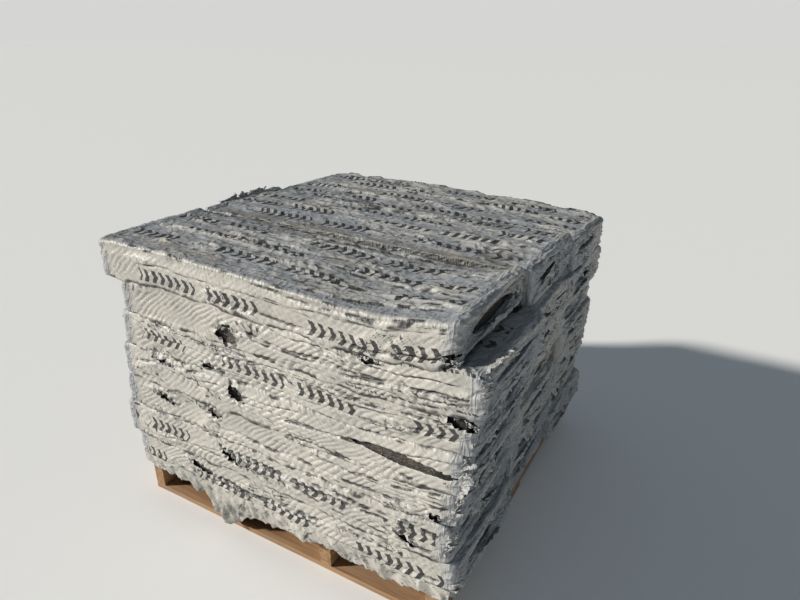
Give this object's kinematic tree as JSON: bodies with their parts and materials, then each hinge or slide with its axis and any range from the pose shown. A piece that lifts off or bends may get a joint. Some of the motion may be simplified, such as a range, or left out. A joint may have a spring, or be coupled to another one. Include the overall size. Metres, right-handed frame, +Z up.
{
  "type": "pallet of asphalt shingle bundles",
  "caption": "Pallet stacked with film-wrapped asphalt shingle bundles, in rows of flat sleeves with eye-shaped ends and worn holes, on a two-deck wooden pallet.",
  "frame": {"origin": "on the floor, at the centre of the pallet's footprint", "axes": "+Z up, +X along the bundles and the deck boards, -Y the front of the load, where the fork openings show"},
  "size_m": [1.105, 1.0403, 0.8092],
  "materials": {
    "film": "crinkled silver-grey polyethylene film, dusty, with black print marks",
    "shingles": "dark mineral granules on asphalt, rough",
    "pallet_wood": "rough-sawn weathered pine"
  },
  "bodies": {
    "root": {"bottom_board_1": "pallet_wood", "bottom_board_2": "pallet_wood", "bottom_board_3": "pallet_wood", "deck_board_1": "pallet_wood", "deck_board_2": "pallet_wood", "deck_board_3": "pallet_wood", "deck_board_4": "pallet_wood", "deck_board_5": "pallet_wood", "deck_board_6": "pallet_wood", "deck_board_7": "pallet_wood", "shingles_1a": "shingles", "shingles_1b": "shingles", "shingles_1c": "shingles", "shingles_2a": "shingles", "shingles_2b": "shingles", "shingles_2c": "shingles", "shingles_3a": "shingles", "shingles_3b": "shingles", "shingles_3c": "shingles", "shingles_4a": "shingles", "shingles_4b": "shingles", "shingles_4c": "shingles", "shingles_5a": "shingles", "shingles_5b": "shingles", "shingles_5c": "shingles", "shingles_6a": "shingles", "shingles_6b": "shingles", "shingles_6c": "shingles", "shingles_7a": "shingles", "shingles_7b": "shingles", "shingles_7c": "shingles", "sleeve_1a": "film", "sleeve_1b": "film", "sleeve_1c": "film", "sleeve_2a": "film", "sleeve_2b": "film", "sleeve_2c": "film", "sleeve_3a": "film", "sleeve_3b": "film", "sleeve_3c": "film", "sleeve_4a": "film", "sleeve_4b": "film", "sleeve_4c": "film", "sleeve_5a": "film", "sleeve_5b": "film", "sleeve_5c": "film", "sleeve_6a": "film", "sleeve_6b": "film", "sleeve_6c": "film", "sleeve_7a": "film", "sleeve_7b": "film", "sleeve_7c": "film", "stringer_1": "pallet_wood", "stringer_2": "pallet_wood", "stringer_3": "pallet_wood", "stringer_4": "pallet_wood"}
  },
  "joints": []
}
